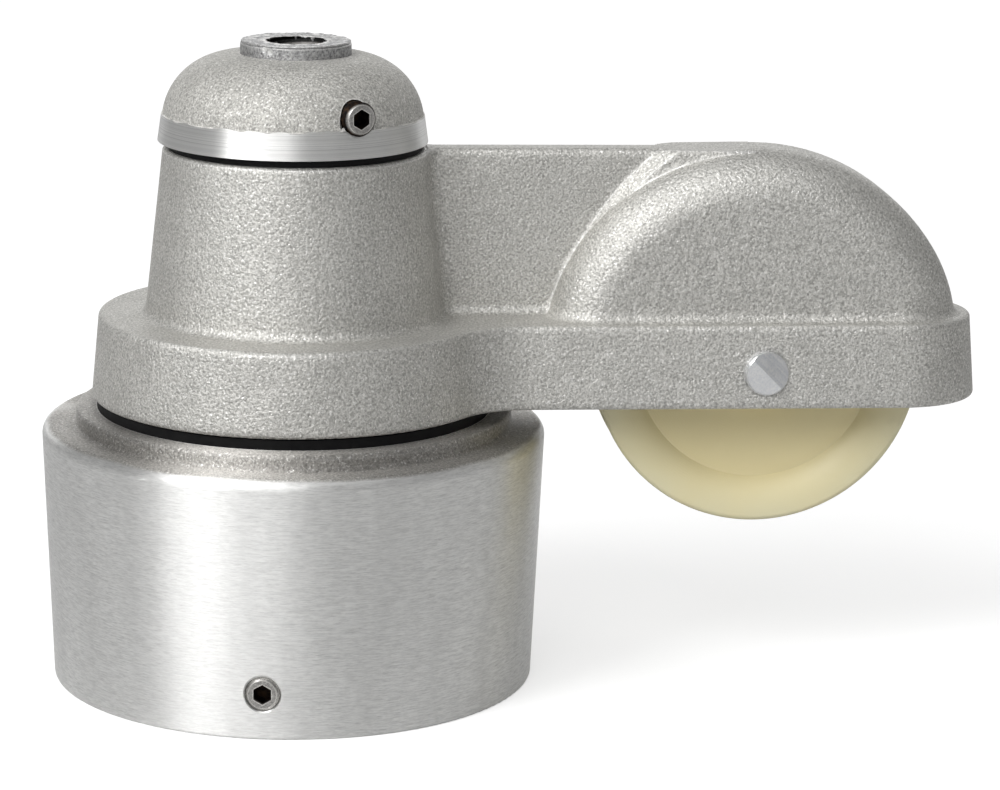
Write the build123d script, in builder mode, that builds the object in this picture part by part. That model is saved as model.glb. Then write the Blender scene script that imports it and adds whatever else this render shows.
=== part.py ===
"""Revolving cap-style flagpole truck: a fixed cap and spindle, a turning arm, and one halyard sheave."""

from build123d import *
import os
from math import cos, radians, sin, tan

os.makedirs("parts", exist_ok=True)

# Everything is in millimetres. The origin is the centre of the pole cap's mouth, +Z is up the
# flagpole, and +X is along the arm that carries the sheave.

# Pole cap: a drafted casting over the end of a 76.2 mm pole
CAP_MOUTH_RADIUS = 44.9
CAP_TOP_RADIUS = 46.8
CAP_HEIGHT = 48.0
CAP_EDGE_ROUND = 2.0
POLE_RADIUS = 38.1
SOCKET_RADIUS = POLE_RADIUS + 0.4
SOCKET_DEPTH = 32.0
RING_RADIUS = 40.5
RING_TOP = 51.0
RING_ROUND = 0.8
MOUTH_ROUND = 0.5
NUT_RECESS_RADIUS = 20.0
NUT_RECESS_TOP = 42.0
POLE_SCREW_HEIGHT = 8.5
POLE_SCREW_ANGLES = (-99.4, 20.6, 140.6)

# Spindle, with its seat, shoulder and tapped end
SPINDLE_RADIUS = 10.16
SPINDLE_TOP = 118.8
SPINDLE_SHOULDER = 46.0
STUD_RADIUS = 7.9
STUD_END = 32.2
WASHER_THICKNESS = 1.6
WASHER_RADIUS = 16.5
NUT_HEIGHT = 8.0
NUT_ACROSS_FLATS = 23.8
FINIAL_TAP_RADIUS = 5.4
FINIAL_TAP_DEPTH = 22.0

# Truck: the round flange, hub, web and hood are one casting
RIM_BOTTOM = 53.1
RIM_TOP = 68.5
RIM_DRAFT = 5.0
RIM_EDGE_ROUND = 0.7
FLANGE_RADIUS = 37.5
ARM_HALF_WIDTH = 16.2
ARM_END_X = 112.1
NECK_RADIUS = 15.0
HUB_BASE_RADIUS = 27.6
HUB_TOP_RADIUS = 24.3
HUB_TOP = 99.3
HUB_BORE_RADIUS = 13.0
HUB_BUSHING_LENGTH = 19.0
HUB_WEB_ROUND = 3.0
WEB_HALF_THICKNESS = 3.0
WEB_TOP = 99.45
HOOD_X = 85.4
HOOD_Z = 60.3
HOOD_RADIUS = 39.4
HOOD_HALF_WIDTH = 12.0
FLARE_X = 102.2
FLARE_Z = 55.4
FLARE_RADIUS = 56.3
FLARE_REACH = 9.0
FLARE_RISE = 3.0
FLARE_STEP = 2.0
FOOT_ROUND = 1.8
CREST_ROUND = 1.2
HUB_RIM_BREAK = 0.5
UNDERSIDE_ROUND = 0.6
SLOT_LIP_ROUND = 1.0

# Sheave and its axle, in the hood's slot
SHEAVE_X = 86.2
SHEAVE_Z = 59.8
SHEAVE_RADIUS = 30.6
SHEAVE_HALF_WIDTH = 6.5
SHEAVE_WEB_HALF = 3.7
SHEAVE_WEB_RADIUS = 22.5
SHEAVE_BOSS_RADIUS = 8.0
SHEAVE_BOSS_HALF = 6.8
GROOVE_DEPTH = 5.2
GROOVE_HALF_WIDTH = 4.7
SLOT_RADIUS = 35.0
SLOT_HALF_WIDTH = 8.0
AXLE_RADIUS = 3.97
AXLE_PROUD = 1.3
AXLE_FACET_TILT = 15.0
AXLE_FACET_TURN = 45.0
BUSHING_RADIUS = 6.2

# Thrust bearings under the flange and over the hub
LOWER_SEAT = 46.5
LOWER_BALL_CIRCLE = 25.0
LOWER_BALL_RADIUS = 3.175
LOWER_BALLS = 18
LOWER_BEARING_HEIGHT = 13.0
LOWER_BORE_RADIUS = 20.0
LOWER_OUTER_RADIUS = 30.0
UPPER_SEAT = 95.6
UPPER_BALL_CIRCLE = 14.1
UPPER_BALL_RADIUS = 1.98
UPPER_BALLS = 16
UPPER_BEARING_HEIGHT = 9.0
UPPER_BORE_RADIUS = 10.5
UPPER_OUTER_RADIUS = 17.6
BALL_PLAY = 0.1
SEAT_PLAY = 0.05
RUNNING_PLAY = 0.06

# Dust seals in the two running gaps
LOWER_SEAL_OUTER = 36.6
LOWER_SEAL_INNER = 33.0
UPPER_SEAL_OUTER = 23.3
UPPER_SEAL_INNER = 19.6
SEAL_SEAT_DEPTH = 1.2
SEAL_GAP = 0.3

# Dome cap that keeps the truck on the spindle
DOME_BOTTOM = 100.7
DOME_BAND_TOP = 105.6
DOME_TOP = 116.6
DOME_OFFSET = -0.45
DOME_MOUTH_RADIUS = 24.8
DOME_BAND_RADIUS = 24.1
DOME_SCREW_ANGLE = -64.3
DOME_SCREW_HEIGHT = 107.8
DOME_SCREW_FACE = 23.1

# Set screws: quarter-inch, 20 threads to the inch, with a hexagon socket
SCREW_RADIUS = 3.1
SCREW_ROOT_RADIUS = 2.55
SCREW_HOLE_RADIUS = 3.2
SCREW_PITCH = 1.27
SCREW_SOCKET_FLATS = 3.2
SCREW_SOCKET_DEPTH = 3.0
SCREW_MOUTH = 0.35


def direction(angle):
    """The horizontal unit vector at an angle in degrees from +X."""
    return Vector(cos(radians(angle)), sin(radians(angle)), 0)


def radial_plane(angle, radius, height):
    """A plane that faces outward, at a radius from the spindle's axis."""
    outward = direction(angle)
    return Plane(origin=outward * radius + Vector(0, 0, height), x_dir=(0, 0, 1), z_dir=outward)


def ring(inner, outer, bottom, top, mode=Mode.ADD):
    """A plain ring around the spindle's axis, or a disc where inner is 0."""
    with BuildSketch(Plane.XY.offset(bottom)) as section:
        Circle(outer)
        if inner > 0:
            Circle(inner, mode=Mode.SUBTRACT)
    extrude(section.sketch, amount=top - bottom, mode=mode)


def thread_points(crest, root, pitch, start, end):
    """The zigzag of a row of thread crests, from start to end along the axis."""
    turns = int((end - start) / pitch)
    points = []
    for turn in range(turns):
        foot = start + turn * pitch
        points.append((root, foot))
        points.append((crest, foot + 0.4 * pitch))
        points.append((crest, foot + 0.6 * pitch))
    points.append((root, start + turns * pitch))
    return points


def set_screw(angle, tip_radius, length, height):
    """A headless screw that points at the axis, with a hexagon socket in its outer end."""
    tip = direction(angle) * tip_radius + Vector(0, 0, height)
    side = direction(angle + 90)
    with BuildSketch(Plane(origin=tip, x_dir=(0, 0, 1), z_dir=side)) as half_section:
        with BuildLine():
            Polyline(
                (0, 0),
                (SCREW_ROOT_RADIUS - 0.6, 0),
                *thread_points(SCREW_RADIUS, SCREW_ROOT_RADIUS, SCREW_PITCH, 0.6, length - 0.6),
                (SCREW_RADIUS, length - 0.5),
                (SCREW_RADIUS - 0.5, length),
                (0, length),
                close=True,
            )
        make_face()
    revolve(half_section.sketch, axis=Axis(tip, direction(angle)))
    with BuildSketch(radial_plane(angle, tip_radius + length, height)) as socket:
        RegularPolygon(SCREW_SOCKET_FLATS / 2, 6, major_radius=False)
    extrude(socket.sketch, amount=-SCREW_SOCKET_DEPTH, mode=Mode.SUBTRACT)


def screw_hole(angle, start, end, height):
    """A radial hole for a set screw."""
    with BuildSketch(radial_plane(angle, start, height)) as hole:
        Circle(SCREW_HOLE_RADIUS)
    extrude(hole.sketch, amount=end - start, mode=Mode.SUBTRACT)


def screw_mouth(angle, face, height):
    """The shallow countersink that breaks the edge of a set screw's hole."""
    with BuildSketch(radial_plane(angle, face + SCREW_MOUTH, height)) as mouth:
        Circle(SCREW_HOLE_RADIUS + 2 * SCREW_MOUTH)
    extrude(mouth.sketch, amount=-2 * SCREW_MOUTH, taper=45, mode=Mode.SUBTRACT)


def bearing_washer(inner, outer, bottom, top, circle, ball, middle):
    """One washer of a thrust bearing, with the groove that its balls run in."""
    ring(inner, outer, bottom, top)
    with BuildSketch(Plane.XZ) as groove:
        with Locations((circle, middle)):
            Circle(ball + BALL_PLAY)
    revolve(groove.sketch, axis=Axis.Z, mode=Mode.SUBTRACT)
    chamfer(edges().filter_by(GeomType.CIRCLE).group_by(SortBy.RADIUS)[-1], 0.4)


def ball_cage(inner, outer, bottom, top, circle, ball, count):
    """The flat cage between two washers, with a pocket for each ball."""
    ring(inner, outer, bottom, top)
    with BuildSketch(Plane.XY.offset(bottom)) as pockets:
        with PolarLocations(circle, count):
            Circle(ball + BALL_PLAY)
    extrude(pockets.sketch, amount=top - bottom, mode=Mode.SUBTRACT)


def balls(circle, radius, count, middle):
    """A ring of separate balls."""
    with Locations(Plane.XY.offset(middle)):
        with PolarLocations(circle, count):
            Sphere(radius)


def save(builder, name):
    """Labels a finished piece and writes it to its own file."""
    builder.part.label = name
    export_step(builder.part, f"parts/{name}.step")


# Pole cap: outside, raised ring, pole socket, nut recess, bearing seat, seal seat and screw holes
POLE_SCREW_FACE = CAP_MOUTH_RADIUS + (CAP_TOP_RADIUS - CAP_MOUTH_RADIUS) * POLE_SCREW_HEIGHT / CAP_HEIGHT
with BuildPart() as pole_cap:
    with BuildSketch(Plane.XZ):
        with BuildLine():
            Polyline(
                (0, NUT_RECESS_TOP),
                (NUT_RECESS_RADIUS, NUT_RECESS_TOP),
                (NUT_RECESS_RADIUS, SOCKET_DEPTH),
                (SOCKET_RADIUS, SOCKET_DEPTH),
                (SOCKET_RADIUS, 0),
                (CAP_MOUTH_RADIUS, 0),
                (CAP_TOP_RADIUS, CAP_HEIGHT),
                (RING_RADIUS, CAP_HEIGHT),
                (RING_RADIUS, RING_TOP),
                (0, RING_TOP),
                close=True,
            )
        make_face()
    revolve(axis=Axis.Z)
    cap_rims = edges().filter_by(GeomType.CIRCLE)
    fillet(cap_rims.filter_by(lambda e: abs(e.radius - CAP_TOP_RADIUS) < 0.01), CAP_EDGE_ROUND)
    ring_rims = edges().filter_by(GeomType.CIRCLE).filter_by(lambda e: abs(e.radius - RING_RADIUS) < 0.01)
    fillet(ring_rims, RING_ROUND)
    mouth_rims = edges().filter_by(lambda e: e.center().Z < 0.01)
    fillet(mouth_rims.filter_by(lambda e: abs(e.radius - CAP_MOUTH_RADIUS) < 0.01), MOUTH_ROUND)
    ring(0, STUD_RADIUS + 0.1, NUT_RECESS_TOP, SPINDLE_SHOULDER, Mode.SUBTRACT)
    ring(0, SPINDLE_RADIUS + SEAT_PLAY, SPINDLE_SHOULDER, RING_TOP, Mode.SUBTRACT)
    ring(LOWER_BORE_RADIUS - 0.2, LOWER_OUTER_RADIUS + SEAT_PLAY, LOWER_SEAT, RING_TOP, Mode.SUBTRACT)
    seal_seat = RING_TOP - SEAL_SEAT_DEPTH
    ring(LOWER_SEAL_INNER, LOWER_SEAL_OUTER, seal_seat, RING_TOP, Mode.SUBTRACT)
    for screw_angle in POLE_SCREW_ANGLES:
        screw_hole(screw_angle, SOCKET_RADIUS - 2, CAP_TOP_RADIUS + 2, POLE_SCREW_HEIGHT)
        screw_mouth(screw_angle, POLE_SCREW_FACE, POLE_SCREW_HEIGHT)
save(pole_cap, "pole_cap")

# Three set screws that grip the pole, flush with the cap's side
POLE_SCREW_TIP = SOCKET_RADIUS + 0.2
with BuildPart() as pole_set_screws:
    for screw_angle in POLE_SCREW_ANGLES:
        set_screw(screw_angle, POLE_SCREW_TIP, POLE_SCREW_FACE - POLE_SCREW_TIP, POLE_SCREW_HEIGHT)
save(pole_set_screws, "pole_set_screws")

# Spindle: threaded stud below its shoulder, plain shank, tapped top for a finial
with BuildPart() as spindle:
    with BuildSketch(Plane.XZ):
        with BuildLine():
            Polyline(
                (0, STUD_END),
                (STUD_RADIUS - 1.2, STUD_END),
                (STUD_RADIUS - 0.2, STUD_END + 1),
                (STUD_RADIUS, STUD_END + 1.6),
                (STUD_RADIUS, SPINDLE_SHOULDER),
                (SPINDLE_RADIUS, SPINDLE_SHOULDER),
                (SPINDLE_RADIUS, SPINDLE_TOP),
                (0, SPINDLE_TOP),
                close=True,
            )
        make_face()
    revolve(axis=Axis.Z)
    ring(0, FINIAL_TAP_RADIUS, SPINDLE_TOP - FINIAL_TAP_DEPTH, SPINDLE_TOP, Mode.SUBTRACT)
    top_rim = faces().sort_by(Axis.Z)[-1].outer_wire().edges()
    chamfer(top_rim, 0.3)
save(spindle, "spindle")

# Washer and nut that draw the spindle's shoulder down onto the cap
NUT_TOP = NUT_RECESS_TOP - WASHER_THICKNESS
with BuildPart() as spindle_washer:
    ring(STUD_RADIUS + 0.3, WASHER_RADIUS, NUT_TOP, NUT_RECESS_TOP)
save(spindle_washer, "spindle_washer")

with BuildPart() as spindle_nut:
    with BuildSketch(Plane.XY.offset(NUT_TOP - NUT_HEIGHT)):
        RegularPolygon(NUT_ACROSS_FLATS / 2, 6, major_radius=False)
        Circle(STUD_RADIUS + SEAT_PLAY, mode=Mode.SUBTRACT)
    extrude(amount=NUT_HEIGHT)
    with BuildSketch(Plane.XZ):
        with BuildLine():
            Polyline(
                (0, NUT_TOP - NUT_HEIGHT),
                (NUT_ACROSS_FLATS / 2 - 0.3, NUT_TOP - NUT_HEIGHT),
                (NUT_ACROSS_FLATS / 2 + 2.5, NUT_TOP - NUT_HEIGHT + 1.6),
                (NUT_ACROSS_FLATS / 2 + 2.5, NUT_TOP),
                (0, NUT_TOP),
                close=True,
            )
        make_face()
    revolve(axis=Axis.Z, mode=Mode.INTERSECT)
save(spindle_nut, "spindle_nut")

# Lower thrust bearing: two grooved washers, the balls and their cage
LOWER_MIDDLE = LOWER_SEAT + LOWER_BEARING_HEIGHT / 2
LOWER_WASHER = 4.8
LOWER_CEILING = LOWER_SEAT + LOWER_BEARING_HEIGHT
LOWER_GROOVE = (LOWER_BALL_CIRCLE, LOWER_BALL_RADIUS, LOWER_MIDDLE)
with BuildPart() as lower_race_bottom:
    bearing_washer(
        LOWER_BORE_RADIUS, LOWER_OUTER_RADIUS, LOWER_SEAT, LOWER_SEAT + LOWER_WASHER, *LOWER_GROOVE
    )
save(lower_race_bottom, "lower_race_bottom")

with BuildPart() as lower_race_top:
    bearing_washer(
        LOWER_BORE_RADIUS, LOWER_OUTER_RADIUS, LOWER_CEILING - LOWER_WASHER, LOWER_CEILING, *LOWER_GROOVE
    )
save(lower_race_top, "lower_race_top")

with BuildPart() as lower_ball_cage:
    ball_cage(
        LOWER_BORE_RADIUS + 1.2,
        LOWER_OUTER_RADIUS - 1.2,
        LOWER_MIDDLE - 1,
        LOWER_MIDDLE + 1,
        LOWER_BALL_CIRCLE,
        LOWER_BALL_RADIUS,
        LOWER_BALLS,
    )
save(lower_ball_cage, "lower_ball_cage")

with BuildPart() as lower_balls:
    balls(LOWER_BALL_CIRCLE, LOWER_BALL_RADIUS, LOWER_BALLS, LOWER_MIDDLE)
save(lower_balls, "lower_balls")

# Upper thrust bearing, between the hub and the dome cap
UPPER_MIDDLE = UPPER_SEAT + UPPER_BEARING_HEIGHT / 2
UPPER_WASHER = 3.3
UPPER_CEILING = UPPER_SEAT + UPPER_BEARING_HEIGHT
UPPER_GROOVE = (UPPER_BALL_CIRCLE, UPPER_BALL_RADIUS, UPPER_MIDDLE)
with BuildPart() as upper_race_bottom:
    bearing_washer(
        UPPER_BORE_RADIUS, UPPER_OUTER_RADIUS, UPPER_SEAT, UPPER_SEAT + UPPER_WASHER, *UPPER_GROOVE
    )
save(upper_race_bottom, "upper_race_bottom")

with BuildPart() as upper_race_top:
    bearing_washer(
        UPPER_BORE_RADIUS, UPPER_OUTER_RADIUS, UPPER_CEILING - UPPER_WASHER, UPPER_CEILING, *UPPER_GROOVE
    )
save(upper_race_top, "upper_race_top")

with BuildPart() as upper_ball_cage:
    ball_cage(
        UPPER_BORE_RADIUS + 0.9,
        UPPER_OUTER_RADIUS - 0.9,
        UPPER_MIDDLE - 0.7,
        UPPER_MIDDLE + 0.7,
        UPPER_BALL_CIRCLE,
        UPPER_BALL_RADIUS,
        UPPER_BALLS,
    )
save(upper_ball_cage, "upper_ball_cage")

with BuildPart() as upper_balls:
    balls(UPPER_BALL_CIRCLE, UPPER_BALL_RADIUS, UPPER_BALLS, UPPER_MIDDLE)
save(upper_balls, "upper_balls")

# Dust seals: each sits in a groove and stops just short of the face above it
with BuildPart() as lower_dust_seal:
    ring(LOWER_SEAL_INNER, LOWER_SEAL_OUTER, seal_seat, RIM_BOTTOM - SEAL_GAP)
save(lower_dust_seal, "lower_dust_seal")

UPPER_SEAL_SEAT = HUB_TOP - SEAL_SEAT_DEPTH
with BuildPart() as upper_dust_seal:
    ring(UPPER_SEAL_INNER, UPPER_SEAL_OUTER, UPPER_SEAL_SEAT, DOME_BOTTOM - SEAL_GAP)
save(upper_dust_seal, "upper_dust_seal")

# Dome cap: turned band and cast dome, slightly off centre from its bearing seat and spindle bore
DOME_SPRING = (DOME_BAND_RADIUS - 0.2, DOME_BAND_TOP)
DOME_CROWN = (12.7, DOME_TOP - 0.15)
with BuildPart() as dome_cap:
    with BuildSketch(Plane(origin=(DOME_OFFSET, 0, 0), x_dir=(1, 0, 0), z_dir=(0, -1, 0))):
        with BuildLine():
            Polyline(
                (SPINDLE_RADIUS + 0.9, DOME_TOP),
                (0, DOME_TOP),
                (0, DOME_BOTTOM),
                (DOME_MOUTH_RADIUS, DOME_BOTTOM),
                (DOME_BAND_RADIUS, DOME_BAND_TOP),
                DOME_SPRING,
            )
            ThreePointArc(DOME_SPRING, (20.8, 112.35), DOME_CROWN)
            Line(DOME_CROWN, (SPINDLE_RADIUS + 0.9, DOME_TOP))
        make_face()
    revolve(axis=Axis((DOME_OFFSET, 0, 0), (0, 0, 1)))
    ring(0, UPPER_OUTER_RADIUS + SEAT_PLAY, DOME_BOTTOM, UPPER_CEILING, Mode.SUBTRACT)
    ring(0, SPINDLE_RADIUS + 0.08, UPPER_CEILING, DOME_TOP, Mode.SUBTRACT)
    screw_hole(DOME_SCREW_ANGLE, SPINDLE_RADIUS - 2, DOME_MOUTH_RADIUS + 2, DOME_SCREW_HEIGHT)
    screw_mouth(DOME_SCREW_ANGLE, DOME_SCREW_FACE, DOME_SCREW_HEIGHT)
save(dome_cap, "dome_cap")

with BuildPart() as dome_set_screw:
    set_screw(DOME_SCREW_ANGLE, SPINDLE_RADIUS + 0.05, 14.6, DOME_SCREW_HEIGHT)
save(dome_set_screw, "dome_set_screw")

# Hood over the sheave: its side view is an arc, its plan has a round end, and its edges are rounded
HOOD_TOP = HOOD_Z + HOOD_RADIUS
HOOD_FOOT = RIM_BOTTOM + 3
HOOD_LEFT = HOOD_X - HOOD_RADIUS
HOOD_RIGHT = HOOD_X + HOOD_RADIUS
HOOD_EDGE_ROUND = HOOD_HALF_WIDTH - WEB_HALF_THICKNESS
with BuildPart() as hood:
    with BuildSketch(Plane.XZ):
        with BuildLine():
            Polyline(
                (HOOD_LEFT, HOOD_Z), (HOOD_LEFT, HOOD_FOOT), (HOOD_RIGHT, HOOD_FOOT), (HOOD_RIGHT, HOOD_Z)
            )
            ThreePointArc((HOOD_RIGHT, HOOD_Z), (HOOD_X, HOOD_TOP), (HOOD_LEFT, HOOD_Z))
        make_face()
    extrude(amount=HOOD_HALF_WIDTH, both=True)
    with BuildSketch(Plane.XY.offset(HOOD_FOOT)):
        with Locations(((HOOD_LEFT + ARM_END_X) / 2, 0)):
            Rectangle(ARM_END_X - HOOD_LEFT, 2 * HOOD_HALF_WIDTH)
        with Locations((ARM_END_X, 0)):
            Circle(HOOD_HALF_WIDTH)
    extrude(amount=HOOD_TOP, mode=Mode.INTERSECT)
    hood_edges = edges().filter_by(lambda e: e.geom_type != GeomType.LINE and e.center().Z > HOOD_Z)
    fillet(hood_edges, HOOD_EDGE_ROUND)

# Flares: a stepped pad on both sides of the web, under the hood's upper left edge. Its outline is an arc
# of its own, which runs out of the hood's foot and ends at the web's top.
with BuildPart() as flares:
    with BuildSketch(Plane(origin=(FLARE_X, 0, FLARE_Z), x_dir=(-1, 0, 0), z_dir=(0, 0, -1))):
        with BuildLine():
            Polyline(
                (FLARE_RADIUS, WEB_HALF_THICKNESS - 1),
                (FLARE_RADIUS, WEB_HALF_THICKNESS),
                (FLARE_RADIUS - FLARE_STEP, WEB_HALF_THICKNESS + FLARE_STEP),
                (FLARE_RADIUS - FLARE_REACH, WEB_HALF_THICKNESS + FLARE_RISE),
                (FLARE_RADIUS - FLARE_REACH, WEB_HALF_THICKNESS - 1),
                close=True,
            )
        make_face()
        mirror(about=Plane.XZ)
    revolve(axis=Axis((FLARE_X, 0, FLARE_Z), (0, 1, 0)), revolution_arc=90)
    with BuildSketch(Plane.XY.offset(WEB_TOP)):
        with Locations((FLARE_X - FLARE_RADIUS / 2, 0)):
            Rectangle(2 * FLARE_RADIUS, 4 * HOOD_HALF_WIDTH)
    extrude(amount=FLARE_RADIUS, mode=Mode.SUBTRACT)

# Truck body: rim plate, hub, web and hood in one casting, then its bores and the sheave's slot
with BuildPart() as truck_body:
    with BuildSketch(Plane.XY.offset(RIM_BOTTOM)) as rim_outline:
        Circle(FLANGE_RADIUS)
        with Locations((ARM_END_X / 2, 0)):
            Rectangle(ARM_END_X, 2 * ARM_HALF_WIDTH)
        with Locations((ARM_END_X, 0)):
            Circle(ARM_HALF_WIDTH)
        fillet(rim_outline.vertices().filter_by_position(Axis.X, 0, FLANGE_RADIUS), NECK_RADIUS)
    extrude(amount=RIM_TOP - RIM_BOTTOM, taper=RIM_DRAFT)
    fillet(faces().sort_by(Axis.Z)[-1].edges(), RIM_EDGE_ROUND)
    fillet(faces().sort_by(Axis.Z)[0].edges(), UNDERSIDE_ROUND)
    with BuildSketch(Plane.XZ):
        with BuildLine():
            Polyline(
                (0, RIM_BOTTOM + 1),
                (HUB_BASE_RADIUS, RIM_BOTTOM + 1),
                (HUB_BASE_RADIUS, RIM_TOP),
                (HUB_TOP_RADIUS, HUB_TOP),
                (0, HUB_TOP),
                close=True,
            )
        make_face()
    revolve(axis=Axis.Z)
    with BuildSketch(Plane.YZ.offset(HUB_TOP_RADIUS / 2)) as web_section:
        with Locations((0, (HOOD_Z + WEB_TOP) / 2)):
            Rectangle(2 * WEB_HALF_THICKNESS, WEB_TOP - HOOD_Z)
        fillet(web_section.vertices().group_by(Axis.Y)[-1], CREST_ROUND)
    extrude(amount=HOOD_X - HUB_TOP_RADIUS / 2)
    add(hood.part)
    add(flares.part)
    corners = edges().filter_by(
        lambda e: abs(e.center().X - HUB_TOP_RADIUS) < 3 and e.length > HUB_TOP_RADIUS
    )
    fillet(corners.filter_by(lambda e: abs(abs(e.center().Y) - WEB_HALF_THICKNESS) < 0.5), HUB_WEB_ROUND)
    ledge = faces().filter_by(Axis.Z).filter_by(lambda f: abs(f.center().Z - RIM_TOP) < 0.01)
    fillet(ledge.sort_by(SortBy.AREA)[-1].inner_wires()[0].edges(), FOOT_ROUND)
    ring(0, DOME_MOUTH_RADIUS + 0.6, HUB_TOP, WEB_TOP + 1, Mode.SUBTRACT)
    with BuildSketch(Plane.XZ):
        with BuildLine():
            Polyline(
                (HUB_TOP_RADIUS - HUB_RIM_BREAK, HUB_TOP),
                (HUB_TOP_RADIUS + 0.1, HUB_TOP),
                (HUB_TOP_RADIUS + 0.1, HUB_TOP - HUB_RIM_BREAK),
                close=True,
            )
        make_face()
    revolve(axis=Axis.Z, mode=Mode.SUBTRACT)
    ring(0, HUB_BORE_RADIUS, RIM_BOTTOM, HUB_TOP, Mode.SUBTRACT)
    ring(LOWER_BORE_RADIUS - 0.2, LOWER_OUTER_RADIUS + SEAT_PLAY, RIM_BOTTOM, LOWER_CEILING, Mode.SUBTRACT)
    ring(0, UPPER_OUTER_RADIUS + SEAT_PLAY, UPPER_SEAT, HUB_TOP, Mode.SUBTRACT)
    ring(UPPER_SEAL_INNER, UPPER_SEAL_OUTER, UPPER_SEAL_SEAT, HUB_TOP, Mode.SUBTRACT)
    with BuildSketch(Plane.XZ):
        with Locations((SHEAVE_X, SHEAVE_Z)):
            Circle(SLOT_RADIUS)
        with Locations((SHEAVE_X, SHEAVE_Z - SLOT_RADIUS / 2)):
            Rectangle(2 * SLOT_RADIUS, SLOT_RADIUS)
    extrude(amount=SLOT_HALF_WIDTH, both=True, mode=Mode.SUBTRACT)
    slot_lips = edges().filter_by(lambda e: abs(e.center().Z - RIM_BOTTOM) < 0.01)
    slot_lips = slot_lips.filter_by(lambda e: e.center().X > SHEAVE_X - SLOT_RADIUS - 1)
    fillet(slot_lips.filter_by(lambda e: abs(e.center().Y) <= SLOT_HALF_WIDTH + 0.01), SLOT_LIP_ROUND)
    with BuildSketch(Plane.XZ):
        with Locations((SHEAVE_X, SHEAVE_Z)):
            Circle(AXLE_RADIUS)
    extrude(amount=FLANGE_RADIUS, both=True, mode=Mode.SUBTRACT)
save(truck_body, "truck_body")

# Plain bushings that carry the hub on the spindle
with BuildPart() as hub_bushing_lower:
    ring(
        SPINDLE_RADIUS + RUNNING_PLAY,
        HUB_BORE_RADIUS,
        RIM_BOTTOM + 0.5,
        RIM_BOTTOM + 0.5 + HUB_BUSHING_LENGTH,
    )
save(hub_bushing_lower, "hub_bushing_lower")

with BuildPart() as hub_bushing_upper:
    ring(SPINDLE_RADIUS + RUNNING_PLAY, HUB_BORE_RADIUS, UPPER_SEAT - HUB_BUSHING_LENGTH, UPPER_SEAT)
save(hub_bushing_upper, "hub_bushing_upper")

# Sheave: dished sides, a thin web, a boss for its bushing and a round halyard groove
SHEAVE_AXIS = Axis((SHEAVE_X, 0, SHEAVE_Z), (0, 1, 0))
SHEAVE_PLANE = Plane(origin=(SHEAVE_X, 0, SHEAVE_Z), x_dir=(1, 0, 0), z_dir=(0, 0, 1))
GROOVE_FLOOR = SHEAVE_RADIUS - GROOVE_DEPTH
LIP = 1.0
with BuildPart() as sheave:
    with BuildSketch(SHEAVE_PLANE) as sheave_section:
        with BuildLine():
            Polyline(
                (BUSHING_RADIUS, 0),
                (BUSHING_RADIUS, SHEAVE_BOSS_HALF),
                (SHEAVE_BOSS_RADIUS, SHEAVE_BOSS_HALF),
                (SHEAVE_BOSS_RADIUS, SHEAVE_WEB_HALF),
                (SHEAVE_WEB_RADIUS, SHEAVE_WEB_HALF),
            )
            ThreePointArc(
                (SHEAVE_WEB_RADIUS, SHEAVE_WEB_HALF),
                (SHEAVE_WEB_RADIUS + 3.0, SHEAVE_HALF_WIDTH - 0.75),
                (SHEAVE_RADIUS - LIP, SHEAVE_HALF_WIDTH),
            )
            ThreePointArc(
                (SHEAVE_RADIUS - LIP, SHEAVE_HALF_WIDTH),
                (SHEAVE_RADIUS - 0.3 * LIP, SHEAVE_HALF_WIDTH - 0.3 * LIP),
                (SHEAVE_RADIUS, SHEAVE_HALF_WIDTH - LIP),
            )
            Line((SHEAVE_RADIUS, SHEAVE_HALF_WIDTH - LIP), (SHEAVE_RADIUS, GROOVE_HALF_WIDTH))
            Spline(
                (SHEAVE_RADIUS, GROOVE_HALF_WIDTH),
                (GROOVE_FLOOR, 0),
                tangents=((-1, 0), (0, -1)),
            )
            Line((GROOVE_FLOOR, 0), (BUSHING_RADIUS, 0))
        make_face()
        mirror(about=Plane.XZ)
    revolve(axis=SHEAVE_AXIS)
save(sheave, "sheave")


def across_sheave(radius, bore, near, far):
    """A ring or rod around the sheave's axis, from one Y to another."""
    with BuildSketch(Plane.XZ.offset(-near)) as section:
        with Locations((SHEAVE_X, SHEAVE_Z)):
            Circle(radius)
            if bore > 0:
                Circle(bore, mode=Mode.SUBTRACT)
    extrude(section.sketch, amount=near - far)


with BuildPart() as sheave_bushing:
    across_sheave(BUSHING_RADIUS, AXLE_RADIUS + RUNNING_PLAY, -SHEAVE_BOSS_HALF, SHEAVE_BOSS_HALF)
save(sheave_bushing, "sheave_bushing")

# Washers that keep the sheave central between the hood's walls
with BuildPart() as sheave_washers:
    across_sheave(
        SHEAVE_BOSS_RADIUS, AXLE_RADIUS + RUNNING_PLAY, SHEAVE_BOSS_HALF + 0.1, SLOT_HALF_WIDTH - 0.1
    )
    across_sheave(
        SHEAVE_BOSS_RADIUS, AXLE_RADIUS + RUNNING_PLAY, 0.1 - SLOT_HALF_WIDTH, -0.1 - SHEAVE_BOSS_HALF
    )
save(sheave_washers, "sheave_washers")

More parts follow.
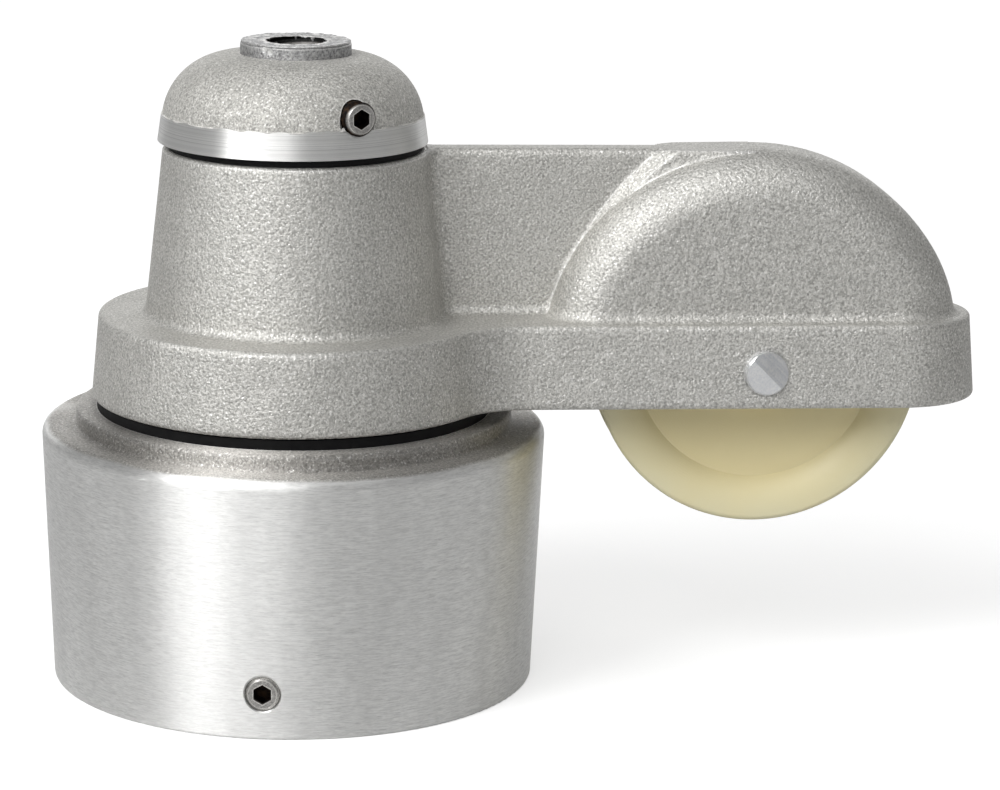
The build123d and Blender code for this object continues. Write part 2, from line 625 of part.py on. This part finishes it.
# Axle: a plain pressed pin, proud of the rim on both sides, each end half flat and half filed back
AXLE_HALF_LENGTH = ARM_HALF_WIDTH - (SHEAVE_Z - RIM_BOTTOM) * tan(radians(RIM_DRAFT)) + AXLE_PROUD
FACET_SIDE = direction(AXLE_FACET_TURN) * sin(radians(AXLE_FACET_TILT))
with BuildPart() as sheave_axle:
    across_sheave(AXLE_RADIUS, 0, -AXLE_HALF_LENGTH, AXLE_HALF_LENGTH)
    chamfer(edges().filter_by(GeomType.CIRCLE), 0.3)
    for end in (-1, 1):
        facet = Plane(
            origin=(SHEAVE_X, end * AXLE_HALF_LENGTH, SHEAVE_Z),
            z_dir=(FACET_SIDE.X, end * cos(radians(AXLE_FACET_TILT)), FACET_SIDE.Y),
        )
        split(bisect_by=facet, keep=Keep.BOTTOM)
save(sheave_axle, "sheave_axle")
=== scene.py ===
import math

import bmesh
import bpy
from mathutils import Matrix, Vector, noise


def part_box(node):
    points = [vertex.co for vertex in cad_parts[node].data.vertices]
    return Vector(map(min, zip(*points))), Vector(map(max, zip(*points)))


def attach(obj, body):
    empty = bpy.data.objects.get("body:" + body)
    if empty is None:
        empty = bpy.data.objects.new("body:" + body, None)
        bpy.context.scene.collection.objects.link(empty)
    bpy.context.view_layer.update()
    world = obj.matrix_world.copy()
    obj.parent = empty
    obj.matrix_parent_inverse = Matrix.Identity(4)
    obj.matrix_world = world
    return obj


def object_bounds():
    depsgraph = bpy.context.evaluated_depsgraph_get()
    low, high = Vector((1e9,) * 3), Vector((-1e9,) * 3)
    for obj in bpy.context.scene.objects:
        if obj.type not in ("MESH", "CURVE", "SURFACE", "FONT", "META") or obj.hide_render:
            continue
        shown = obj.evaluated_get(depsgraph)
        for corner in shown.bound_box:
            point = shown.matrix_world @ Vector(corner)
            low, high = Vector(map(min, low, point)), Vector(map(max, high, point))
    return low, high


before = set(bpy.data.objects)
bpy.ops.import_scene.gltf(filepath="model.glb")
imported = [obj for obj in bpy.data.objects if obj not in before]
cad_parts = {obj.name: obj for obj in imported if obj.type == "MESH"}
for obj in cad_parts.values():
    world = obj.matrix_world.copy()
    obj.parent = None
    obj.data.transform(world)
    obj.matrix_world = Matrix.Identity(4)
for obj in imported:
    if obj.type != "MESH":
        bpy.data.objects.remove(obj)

CAD_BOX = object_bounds()
MM = 0.001


# --- Places that the finishes need, read from the frame -------------------------------------------

CAP_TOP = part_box("pole_cap")[1].z
DOME_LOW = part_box("dome_cap")[0]
SPINDLE_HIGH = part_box("spindle")[1]
SHEAVE_LOW, SHEAVE_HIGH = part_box("sheave")
POLE_SCREWS_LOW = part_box("pole_set_screws")[0]
DOME_SCREW_LOW, DOME_SCREW_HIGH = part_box("dome_set_screw")
TAP_RADIUS = 5.4 * MM
TAP_PITCH = 1.95 * MM
BAND_HEIGHT = 4.9 * MM
CAST_TOP_FROM = 3.5 * MM
CAST_TOP_TO = 3.1 * MM


# --- Node helpers ---------------------------------------------------------------------------------

class Paint:
    """One procedural material. Each method adds nodes and gives back the socket to use next."""

    def __init__(self, name, metallic=1.0, specular=0.5, anisotropy=0.0):
        self.material = bpy.data.materials.new(name)
        self.material.use_nodes = True
        self.tree = self.material.node_tree
        self.shader = self.tree.nodes["Principled BSDF"]
        self.shader.inputs["Metallic"].default_value = metallic
        self.shader.inputs["Specular IOR Level"].default_value = specular
        self.shader.inputs["Anisotropic"].default_value = anisotropy
        self.place = self.add("ShaderNodeTexCoord").outputs["Object"]
        self.normal = None

    def add(self, kind, **settings):
        made = self.tree.nodes.new(kind)
        for name, value in settings.items():
            setattr(made, name, value)
        return made

    def put(self, socket, value):
        """Gives an input a number, a colour or another node's output."""
        if isinstance(value, bpy.types.NodeSocket):
            self.tree.links.new(value, socket)
        elif socket.type == "RGBA" and len(value) == 3:
            socket.default_value = (*value, 1.0)
        else:
            socket.default_value = value

    def math(self, operation, first, second=0.0):
        made = self.add("ShaderNodeMath", operation=operation)
        self.put(made.inputs[0], first)
        self.put(made.inputs[1], second)
        return made.outputs[0]

    def stretched(self, spacing):
        """The place divided by a grain spacing along X, Y and Z, in metres."""
        made = self.add("ShaderNodeVectorMath", operation="DIVIDE")
        self.put(made.inputs[0], self.place)
        made.inputs[1].default_value = spacing
        return made.outputs[0]

    def noise(self, spacing, detail=2.0, roughness=0.5, distortion=0.0):
        """Noise from 0 to 1 whose lumps are one spacing apart: a number, or one for each axis."""
        spacing = (spacing,) * 3 if isinstance(spacing, float) else spacing
        made = self.add("ShaderNodeTexNoise")
        self.put(made.inputs["Vector"], self.stretched(spacing))
        made.inputs["Scale"].default_value = 1.0
        made.inputs["Detail"].default_value = detail
        made.inputs["Roughness"].default_value = roughness
        made.inputs["Distortion"].default_value = distortion
        return made.outputs["Fac"]

    def cells(self, spacing, feature="F1"):
        """Distance to the nearest of scattered points that are about one spacing apart."""
        made = self.add("ShaderNodeTexVoronoi", feature=feature)
        self.put(made.inputs["Vector"], self.stretched((spacing,) * 3))
        made.inputs["Scale"].default_value = 1.0
        return made.outputs["Distance"]

    def span(self, value, low, high, to_low=0.0, to_high=1.0):
        """Maps low..high to to_low..to_high, held at both ends."""
        made = self.add("ShaderNodeMapRange", clamp=True)
        self.put(made.inputs["Value"], value)
        made.inputs["From Min"].default_value = low
        made.inputs["From Max"].default_value = high
        made.inputs["To Min"].default_value = to_low
        made.inputs["To Max"].default_value = to_high
        return made.outputs["Result"]

    def blend(self, factor, first, second):
        """Mixes two numbers, or sockets of numbers."""
        made = self.add("ShaderNodeMix", data_type="FLOAT")
        self.put(made.inputs[0], factor)
        self.put(made.inputs[2], first)
        self.put(made.inputs[3], second)
        return made.outputs[0]

    def tint(self, factor, first, second):
        """Mixes two colours."""
        made = self.add("ShaderNodeMix", data_type="RGBA")
        self.put(made.inputs[0], factor)
        self.put(made.inputs[6], first)
        self.put(made.inputs[7], second)
        return made.outputs[2]

    def axis(self, letter):
        """One coordinate of the place, in metres."""
        made = self.add("ShaderNodeSeparateXYZ")
        self.put(made.inputs[0], self.place)
        return made.outputs[letter]

    def radius(self):
        """The distance from the spindle's axis."""
        across = self.math("POWER", self.axis("X"), 2.0)
        along = self.math("POWER", self.axis("Y"), 2.0)
        return self.math("SQRT", self.math("ADD", across, along))

    def rounded(self, width):
        """The direction that the surface would face if its edges were rounded."""
        made = self.add("ShaderNodeBevel", samples=6)
        made.inputs["Radius"].default_value = width
        return made.outputs["Normal"]

    def edges(self, width):
        """1 on a convex or concave edge and 0 on a face, from how far rounding would turn the surface."""
        plain = self.add("ShaderNodeNewGeometry")
        turn = self.add("ShaderNodeVectorMath", operation="DOT_PRODUCT")
        self.put(turn.inputs[0], self.rounded(width))
        self.put(turn.inputs[1], plain.outputs["Normal"])
        return self.span(turn.outputs["Value"], 0.995, 0.90)

    def soften(self, width):
        """Lets light turn gently over every edge, as it does on a rough casting."""
        self.normal = self.rounded(width)

    def round_about_spindle(self):
        """Lets highlights stretch as they do on a surface that was turned about the spindle's axis."""
        tangent = self.add("ShaderNodeTangent", direction_type="RADIAL", axis="Z")
        self.put(self.shader.inputs["Tangent"], tangent.outputs[0])
        self.shader.inputs["Anisotropic Rotation"].default_value = 0.25

    def raise_by(self, height, distance, strength=1.0):
        """Adds relief: height runs from 0 to 1 over a distance in metres."""
        made = self.add("ShaderNodeBump")
        made.inputs["Strength"].default_value = strength
        made.inputs["Distance"].default_value = distance
        self.put(made.inputs["Height"], height)
        if self.normal is not None:
            self.put(made.inputs["Normal"], self.normal)
        self.normal = made.outputs["Normal"]

    def finish(self, colour, roughness):
        self.put(self.shader.inputs["Base Color"], colour)
        self.put(self.shader.inputs["Roughness"], roughness)
        if self.normal is not None:
            self.put(self.shader.inputs["Normal"], self.normal)
        return self.material


# --- Cast aluminium -------------------------------------------------------------------------------

CAST_PALE = (0.70, 0.69, 0.66)
CAST_DARK = (0.38, 0.375, 0.355)
CAST_BRIGHT = (0.93, 0.92, 0.90)
GRAIN = 0.42 * MM


def cast_layers(paint, pale=CAST_PALE, dark=CAST_DARK):
    """The colour, roughness and relief of a tumbled sand casting, with painted glints on its bright grains.
    """
    grain = paint.noise(GRAIN, detail=3.0, roughness=0.62)
    pits = paint.cells(GRAIN * 1.6, feature="SMOOTH_F1")
    lumps = paint.noise(7.0 * MM, detail=2.0)
    speckle_and_glint = paint.span(paint.noise(GRAIN * 0.9, detail=1.0), 0.57, 0.72)
    colour = paint.tint(paint.span(grain, 0.36, 0.60), dark, pale)
    colour = paint.tint(paint.span(lumps, 0.35, 0.70, 0.0, 0.25), colour, dark)
    # Painted glints: scattered grains are painted near white, partly the grain's own tone and partly glints
    # painted into the colour.
    colour = paint.tint(paint.math("MULTIPLY", speckle_and_glint, 0.7), colour, CAST_BRIGHT)
    roughness = paint.blend(speckle_and_glint, 0.60, 0.42)
    height = paint.math("ADD", paint.math("MULTIPLY", grain, 0.7), paint.math("MULTIPLY", pits, 0.5))
    return colour, roughness, height, lumps


def cast_aluminium(name):
    """The truck: a tumbled sand casting, smoother on its edges and brighter there from wear and a painted
    highlight.
    """
    paint = Paint(name)
    colour, roughness, height, lumps = cast_layers(paint)
    # Painted highlight: convex and concave edges are painted brighter, partly as wear and partly as a
    # highlight painted into the colour.
    worn_and_highlit = paint.math("MULTIPLY", paint.edges(0.7 * MM), paint.span(lumps, 0.30, 0.60, 0.35, 0.8))
    colour = paint.tint(worn_and_highlit, colour, CAST_BRIGHT)
    roughness = paint.blend(worn_and_highlit, roughness, 0.34)
    paint.soften(1.6 * MM)
    paint.raise_by(lumps, 0.25 * MM, 0.5)
    paint.raise_by(height, 0.26 * MM, 0.9)
    return paint.finish(colour, roughness)


# --- Machined aluminium ---------------------------------------------------------------------------

BRUSHED_PALE = (0.95, 0.95, 0.935)
BRUSHED_DARK = (0.64, 0.64, 0.63)
CAP_CAST_PALE = (0.60, 0.58, 0.55)
CAP_CAST_DARK = (0.34, 0.33, 0.31)


def brushed_layers(paint):
    """Short scratches that run round an upright cylinder."""
    slant = paint.noise(18.0 * MM, detail=1.0)
    strokes = paint.noise((2.6 * MM, 2.6 * MM, 0.26 * MM), detail=4.0, roughness=0.6, distortion=0.15)
    fine = paint.noise((1.0 * MM, 1.0 * MM, 0.12 * MM), detail=2.0, roughness=0.6)
    streaks = paint.noise((9.0 * MM, 9.0 * MM, 60.0 * MM), detail=3.0, roughness=0.7)
    lines = paint.math("ADD", paint.math("MULTIPLY", strokes, 0.6), paint.math("MULTIPLY", fine, 0.4))
    colour = paint.tint(paint.span(lines, 0.30, 0.60), BRUSHED_DARK, BRUSHED_PALE)
    colour = paint.tint(paint.span(streaks, 0.35, 0.75, 0.0, 0.35), colour, BRUSHED_DARK)
    roughness = paint.span(lines, 0.25, 0.75, 0.52, 0.38)
    return colour, roughness, lines, slant


def pole_cap_finish(name):
    """The cap: a brushed side, a machined socket and mouth, and a cast top."""
    paint = Paint(name, anisotropy=0.88)
    paint.round_about_spindle()
    cast_colour, cast_roughness, cast_height, _ = cast_layers(paint, CAP_CAST_PALE, CAP_CAST_DARK)
    colour, roughness, lines, slant = brushed_layers(paint)
    ragged = paint.math("ADD", paint.axis("Z"), paint.span(slant, 0.0, 1.0, -0.4 * MM, 0.4 * MM))
    top = paint.span(ragged, CAP_TOP - CAST_TOP_FROM, CAP_TOP - CAST_TOP_TO)
    # Painted highlight: the edges are painted brighter, partly as wear and partly as a highlight painted
    # into the colour.
    worn_and_highlit = paint.edges(0.6 * MM)
    colour = paint.tint(top, colour, cast_colour)
    roughness = paint.blend(top, roughness, cast_roughness)
    colour = paint.tint(paint.math("MULTIPLY", worn_and_highlit, 0.8), colour, CAST_BRIGHT)
    paint.raise_by(paint.math("MULTIPLY", cast_height, top), 0.16 * MM, 0.8)
    brushed = paint.math("SUBTRACT", 1.0, top)
    paint.raise_by(paint.math("MULTIPLY", lines, brushed), 0.04 * MM, 0.6)
    return paint.finish(colour, roughness)


def dome_finish(name):
    """The cover: a cast dome over a band that was turned in a lathe."""
    paint = Paint(name)
    paint.round_about_spindle()
    colour, roughness, height, _ = cast_layers(paint)
    band_top = DOME_LOW.z + BAND_HEIGHT
    wander = paint.span(paint.noise(3.0 * MM), 0.2, 0.8, -0.35 * MM, 0.35 * MM)
    ragged = paint.math("ADD", paint.axis("Z"), wander)
    cast = paint.span(ragged, band_top - 0.05 * MM, band_top + 0.05 * MM)
    rings = paint.noise((400.0 * MM, 400.0 * MM, 0.22 * MM), detail=3.0, roughness=0.7)
    turned = paint.tint(paint.span(rings, 0.3, 0.65), BRUSHED_DARK, BRUSHED_PALE)
    colour = paint.tint(cast, turned, colour)
    roughness = paint.math("ADD", roughness, 0.16)
    roughness = paint.blend(cast, paint.span(rings, 0.2, 0.8, 0.52, 0.38), roughness)
    turned_only = paint.math("SUBTRACT", 1.0, cast)
    paint.put(paint.shader.inputs["Anisotropic"], paint.math("MULTIPLY", turned_only, 0.96))
    # Painted highlight: the edges are painted brighter, partly as wear and partly as a highlight painted
    # into the colour.
    worn_and_highlit = paint.edges(0.5 * MM)
    colour = paint.tint(paint.math("MULTIPLY", worn_and_highlit, 0.7), colour, CAST_BRIGHT)
    paint.raise_by(paint.math("MULTIPLY", height, cast), 0.20 * MM, 0.9)
    paint.raise_by(paint.math("MULTIPLY", rings, turned_only), 0.05 * MM, 0.6)
    return paint.finish(colour, roughness)


# --- Steel, brass, bronze, rubber and nylon -------------------------------------------------------

def turned_metal(name, pale, dark, smooth, rough, line=0.15 * MM, depth=0.02 * MM, along="Z"):
    """A lathe-turned metal, with tool marks that are rings about an upright or a level axis."""
    paint = Paint(name)
    long = 300.0 * MM
    spacing = (long, long, line) if along == "Z" else (long, line, long)
    marks = paint.noise(spacing, detail=2.0, roughness=0.6)
    blotches = paint.noise(2.5 * MM, detail=4.0, roughness=0.65)
    fine = paint.noise(0.35 * MM, detail=2.0)
    both = paint.blend(0.5, marks, fine)
    colour = paint.tint(paint.span(both, 0.35, 0.65), dark, pale)
    colour = paint.tint(paint.span(blotches, 0.45, 0.8, 0.0, 0.5), colour, dark)
    # Painted highlight: the edges are painted pale.
    colour = paint.tint(paint.math("MULTIPLY", paint.edges(0.25 * MM), 0.6), colour, pale)
    roughness = paint.span(blotches, 0.3, 0.7, smooth, rough)
    paint.raise_by(both, depth, 0.6)
    return paint.finish(colour, roughness)


def screw_finish(name, face):
    """A set screw: bright steel at its face, which is this far from the spindle's axis, with painted
    highlights on its edges and painted shade, near black, below the face.
    """
    paint = Paint(name)
    blotches = paint.noise(0.9 * MM, detail=3.0, roughness=0.6)
    fine = paint.noise(0.3 * MM, detail=2.0)
    colour = paint.tint(paint.span(fine, 0.35, 0.65), (0.30, 0.29, 0.28), (0.52, 0.51, 0.49))
    # Painted highlight: the edges are painted near white.
    colour = paint.tint(paint.edges(0.4 * MM), colour, (0.97, 0.95, 0.90))
    # Painted shade: below the face, in the socket, the steel is painted near black with a brown tinge.
    socket_shade = paint.tint(paint.span(blotches, 0.40, 0.65), (0.008, 0.008, 0.009), (0.045, 0.028, 0.018))
    deep = paint.span(paint.radius(), face - 0.7 * MM, face - 0.35 * MM, 1.0, 0.0)
    colour = paint.tint(deep, colour, socket_shade)
    paint.raise_by(blotches, 0.05 * MM, 0.5)
    return paint.finish(colour, paint.blend(deep, paint.span(blotches, 0.3, 0.7, 0.24, 0.42), 0.6))


def spindle_finish(name):
    """The spindle: a grey sawn end with nicks and painted highlights on its edges, and a hole painted dark
    as shade, with a screw thread down its wall drawn as bands of painted shade.
    """
    paint = Paint(name)
    radius = paint.radius()
    height = paint.axis("Z")
    turn = paint.math("DIVIDE", paint.math("ARCTAN2", paint.axis("Y"), paint.axis("X")), math.tau)
    climb = paint.math("ADD", paint.math("DIVIDE", height, TAP_PITCH), turn)
    thread = paint.math("PINGPONG", climb, 0.5)
    wobble = paint.span(paint.noise(1.4 * MM, detail=3.0), 0.25, 0.75, -0.35 * MM, 0.35 * MM)
    inside = paint.span(paint.math("ADD", radius, wobble), TAP_RADIUS + 0.25 * MM, TAP_RADIUS + 0.10 * MM)
    grain = paint.noise(0.45 * MM, detail=4.0, roughness=0.68)
    nicks = paint.span(paint.cells(2.2 * MM), 0.10, 0.32)
    colour = paint.tint(paint.span(grain, 0.34, 0.62), (0.18, 0.18, 0.185), (0.58, 0.58, 0.58))
    colour = paint.tint(nicks, (0.80, 0.80, 0.79), colour)
    # Painted highlight: the edges are painted brighter.
    colour = paint.tint(paint.math("MULTIPLY", paint.edges(0.45 * MM), 0.9), colour, CAST_BRIGHT)
    # Painted shade: the tapped hole is painted near black, with paler bands along the thread.
    shaded_hole = paint.tint(paint.span(thread, 0.25, 0.45), (0.02, 0.02, 0.02), (0.26, 0.25, 0.24))
    colour = paint.tint(inside, colour, shaded_hole)
    paint.raise_by(paint.math("MULTIPLY", thread, inside), 0.8 * MM, 0.9)
    paint.raise_by(grain, 0.20 * MM, 0.9)
    paint.raise_by(nicks, 0.15 * MM, 0.6)
    return paint.finish(colour, paint.blend(paint.span(grain, 0.4, 0.6), 0.60, 0.38))


def seal_rubber(name):
    """Black moulded rubber with a faint bloom and fine dust, painted near black so that the seals also stand
    for the shade in the gaps where they sit.
    """
    paint = Paint(name, metallic=0.0, specular=0.15)
    bloom = paint.noise(1.8 * MM, detail=4.0, roughness=0.6)
    fine = paint.noise(0.2 * MM, detail=2.0)
    # Painted shade: the seals are painted near black and fill gaps that hold shade.
    colour = paint.tint(paint.span(bloom, 0.35, 0.75), (0.003, 0.003, 0.0035), (0.009, 0.009, 0.009))
    paint.raise_by(fine, 0.03 * MM, 0.5)
    return paint.finish(colour, paint.span(bloom, 0.3, 0.7, 0.48, 0.68))


NYLON = (0.80, 0.70, 0.40)
NYLON_PALE = (0.70, 0.655, 0.44)
NYLON_WARM = (0.74, 0.64, 0.35)


def sheave_nylon(name):
    """Cream moulded nylon, paler towards its rim, with faint turned marks about its axle."""
    paint = Paint(name, metallic=0.0, specular=0.5)
    centre = (SHEAVE_LOW + SHEAVE_HIGH) / 2
    from_axle = paint.add("ShaderNodeVectorMath", operation="SUBTRACT")
    paint.put(from_axle.inputs[0], paint.place)
    from_axle.inputs[1].default_value = centre
    flat = paint.add("ShaderNodeVectorMath", operation="MULTIPLY")
    paint.put(flat.inputs[0], from_axle.outputs[0])
    flat.inputs[1].default_value = (1.0, 0.0, 1.0)
    length = paint.add("ShaderNodeVectorMath", operation="LENGTH")
    paint.put(length.inputs[0], flat.outputs[0])
    radius = length.outputs["Value"]
    rim = (SHEAVE_HIGH.x - SHEAVE_LOW.x) / 2
    cloud = paint.noise(9.0 * MM, detail=3.0, roughness=0.55)
    fine = paint.noise(0.25 * MM, detail=2.0)
    colour = paint.tint(paint.span(radius, 0.70 * rim, rim), NYLON, NYLON_PALE)
    colour = paint.tint(paint.span(cloud, 0.35, 0.75, 0.0, 0.35), colour, NYLON_WARM)
    marks = paint.math("SINE", paint.math("MULTIPLY", radius, math.tau / (0.45 * MM)))
    paint.raise_by(marks, 0.004 * MM, 0.5)
    paint.raise_by(fine, 0.02 * MM, 0.5)
    return paint.finish(colour, paint.span(cloud, 0.3, 0.7, 0.38, 0.52))


STEEL_PALE, STEEL_DARK = (0.72, 0.72, 0.72), (0.42, 0.42, 0.43)
BRIGHT_STEEL, BRIGHT_STEEL_DARK = (0.80, 0.80, 0.81), (0.55, 0.55, 0.57)
AXLE_PALE, AXLE_DARK = (0.95, 0.95, 0.94), (0.72, 0.74, 0.77)
BRASS_PALE, BRASS_DARK = (0.78, 0.58, 0.26), (0.46, 0.31, 0.12)
BRONZE_PALE, BRONZE_DARK = (0.62, 0.40, 0.22), (0.34, 0.20, 0.10)

DOME_SCREW_MIDDLE = (DOME_SCREW_LOW + DOME_SCREW_HIGH) / 2
DOME_SCREW_FACE = 2 * DOME_SCREW_MIDDLE.xy.length - SPINDLE_HIGH.x
finishes = {
    "pole_cap": pole_cap_finish("cap_aluminium"),
    "truck_body": cast_aluminium("truck_aluminium"),
    "dome_cap": dome_finish("dome_aluminium"),
    "spindle": spindle_finish("spindle_metal"),
    "pole_set_screws": screw_finish("pole_screw_steel", -POLE_SCREWS_LOW.y),
    "dome_set_screw": screw_finish("dome_screw_steel", DOME_SCREW_FACE),
    "sheave_axle": turned_metal("axle_steel", AXLE_PALE, AXLE_DARK, 0.26, 0.42, along="Y"),
    "sheave": sheave_nylon("sheave_nylon"),
}
by_slot = {
    "stainless": turned_metal("stainless", STEEL_PALE, STEEL_DARK, 0.20, 0.38),
    "bearing_steel": turned_metal("bearing_steel", BRIGHT_STEEL, BRIGHT_STEEL_DARK, 0.08, 0.20),
    "cage_brass": turned_metal("cage_brass", BRASS_PALE, BRASS_DARK, 0.26, 0.42),
    "bushing_bronze": turned_metal("bushing_bronze", BRONZE_PALE, BRONZE_DARK, 0.32, 0.50),
    "seal_rubber": seal_rubber("seal_rubber"),
}
for name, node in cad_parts.items():
    slot = node.material_slots[0]
    slot.material = finishes.get(name) or by_slot[slot.material.name.split(".")[0]]


# --- The spindle's sawn end -----------------------------------------------------------------------

SAWN_STEPS = 144
SAWN_RINGS = 9
SAWN_INSET = 0.12 * MM
SAWN_LIFT = 0.12 * MM
SAWN_DEPTH = 0.05 * MM


def sawn_end():
    """The rough end of the spindle: a thin ring of metal that the saw left uneven, with a torn lip."""
    steps, rings = SAWN_STEPS, SAWN_RINGS
    outer = SPINDLE_HIGH.x - SAWN_INSET
    level = SPINDLE_HIGH.z
    made = bmesh.new()
    loops = []
    for step in range(steps):
        angle = math.tau * step / steps
        side = Vector((math.cos(angle), math.sin(angle), 0.0))
        torn = abs(noise.noise(side * 4.0)) * 0.3 * MM
        loop = [made.verts.new(side * outer + Vector((0.0, 0.0, level - SAWN_DEPTH)))]
        for ring in range(rings):
            share = ring / (rings - 1)
            radius = outer + (TAP_RADIUS - outer) * share
            radius += {0: -torn, rings - 1: torn}.get(ring, 0.0)
            rough = noise.fractal(side * radius * 900.0, 1.0, 2.0, 3) * 0.10 * MM
            lip = 0.26 * MM * (0.5 + 0.5 * noise.noise(side * 3.1)) * max(0.0, 1.0 - share * 6.0)
            loop.append(made.verts.new(side * radius + Vector((0.0, 0.0, level + SAWN_LIFT + rough + lip))))
        loop.append(made.verts.new(side * (TAP_RADIUS + 0.05 * MM) + Vector((0.0, 0.0, level - SAWN_DEPTH))))
        loops.append(loop)
    for step, loop in enumerate(loops):
        following = loops[(step + 1) % steps]
        for row in range(len(loop)):
            across = (row + 1) % len(loop)
            made.faces.new((loop[row], following[row], following[across], loop[across]))
    bmesh.ops.recalc_face_normals(made, faces=made.faces)
    mesh = bpy.data.meshes.new("spindle_sawn_end")
    made.to_mesh(mesh)
    made.free()
    for face in mesh.polygons:
        face.use_smooth = True
    piece = bpy.data.objects.new("spindle_sawn_end", mesh)
    bpy.context.scene.collection.objects.link(piece)
    mesh.materials.append(finishes["spindle"])
    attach(piece, "base")


sawn_end()


# --- Studio ---------------------------------------------------------------------------------------

VIEW_AIM = Vector((38.5, 0.0, 52.3)) * MM
VIEW_DISTANCE = 676.0 * MM
VIEW_AZIMUTH = math.radians(5.77)
VIEW_ELEVATION = math.radians(13.18)
VIEW_ROLL = math.radians(1.0)
VIEW_LENS = 129.8
FLOOR_GLOW = 0.55
WORLD_LIGHT = 0.34


def direction(azimuth, elevation):
    """From the object towards a place round it: azimuth is from the -Y side towards +X."""
    level = math.cos(elevation)
    return Vector((math.sin(azimuth) * level, -math.cos(azimuth) * level, math.sin(elevation)))


def aim(thing, place, roll=0.0):
    """Stands a camera or lamp at a place, looking at the object."""
    turn = (VIEW_AIM - place).to_track_quat("-Z", "Y").to_matrix().to_4x4()
    thing.matrix_world = Matrix.Translation(place) @ turn @ Matrix.Rotation(roll, 4, "Z")


def add_camera():
    data = bpy.data.cameras.new("camera")
    data.lens = VIEW_LENS
    data.clip_end = 50.0
    camera = bpy.data.objects.new("camera", data)
    bpy.context.scene.collection.objects.link(camera)
    place = VIEW_AIM + direction(-VIEW_AZIMUTH, VIEW_ELEVATION) * VIEW_DISTANCE
    aim(camera, place, VIEW_ROLL)
    bpy.context.scene.camera = camera


def add_softbox(name, azimuth, elevation, distance, width, height, power):
    """A rectangular lamp. Its azimuth is seen from the camera: negative is to the left."""
    data = bpy.data.lights.new(name, "AREA")
    data.shape = "RECTANGLE"
    data.size = width
    data.size_y = height
    data.energy = power
    lamp = bpy.data.objects.new(name, data)
    bpy.context.scene.collection.objects.link(lamp)
    turned = -VIEW_AZIMUTH + math.radians(azimuth)
    aim(lamp, VIEW_AIM + direction(turned, math.radians(elevation)) * distance)


def add_floor():
    """A wide plain floor, level with the cap's mouth."""
    half = 6.0
    mesh = bpy.data.meshes.new("floor")
    corners = [(x * half, y * half, CAD_BOX[0].z) for x, y in ((-1, -1), (1, -1), (1, 1), (-1, 1))]
    mesh.from_pydata(corners, [], [(0, 1, 2, 3)])
    floor = bpy.data.objects.new("floor", mesh)
    bpy.context.scene.collection.objects.link(floor)
    paint = Paint("floor_paper", metallic=0.0, specular=0.1)
    fibre = paint.noise(3.0 * MM, detail=3.0)
    colour = paint.tint(fibre, (0.58, 0.58, 0.58), (0.60, 0.60, 0.60))
    paint.shader.inputs["Emission Color"].default_value = (1.0, 1.0, 1.0, 1.0)
    seen = paint.add("ShaderNodeLightPath").outputs["Is Camera Ray"]
    paint.put(paint.shader.inputs["Emission Strength"], paint.math("MULTIPLY", seen, FLOOR_GLOW))
    mesh.materials.append(paint.finish(colour, 0.9))


def add_world(strength):
    world = bpy.data.worlds.new("studio")
    world.use_nodes = True
    world.node_tree.nodes["Background"].inputs["Color"].default_value = (1.0, 1.0, 1.0, 1.0)
    world.node_tree.nodes["Background"].inputs["Strength"].default_value = strength
    bpy.context.scene.world = world


add_camera()
add_floor()
add_world(WORLD_LIGHT)
add_softbox("key", -46.0, 38.0, 1.6, 0.66, 1.0, 16.5)
add_softbox("front", -12.0, 38.0, 1.6, 0.7, 1.0, 6.5)
add_softbox("overhead", 0.0, 86.0, 1.6, 1.4, 1.4, 3.5)
add_softbox("back", 180.0, 20.0, 1.6, 2.0, 0.5, 5.0)
bpy.context.scene.view_settings.view_transform = "Standard"
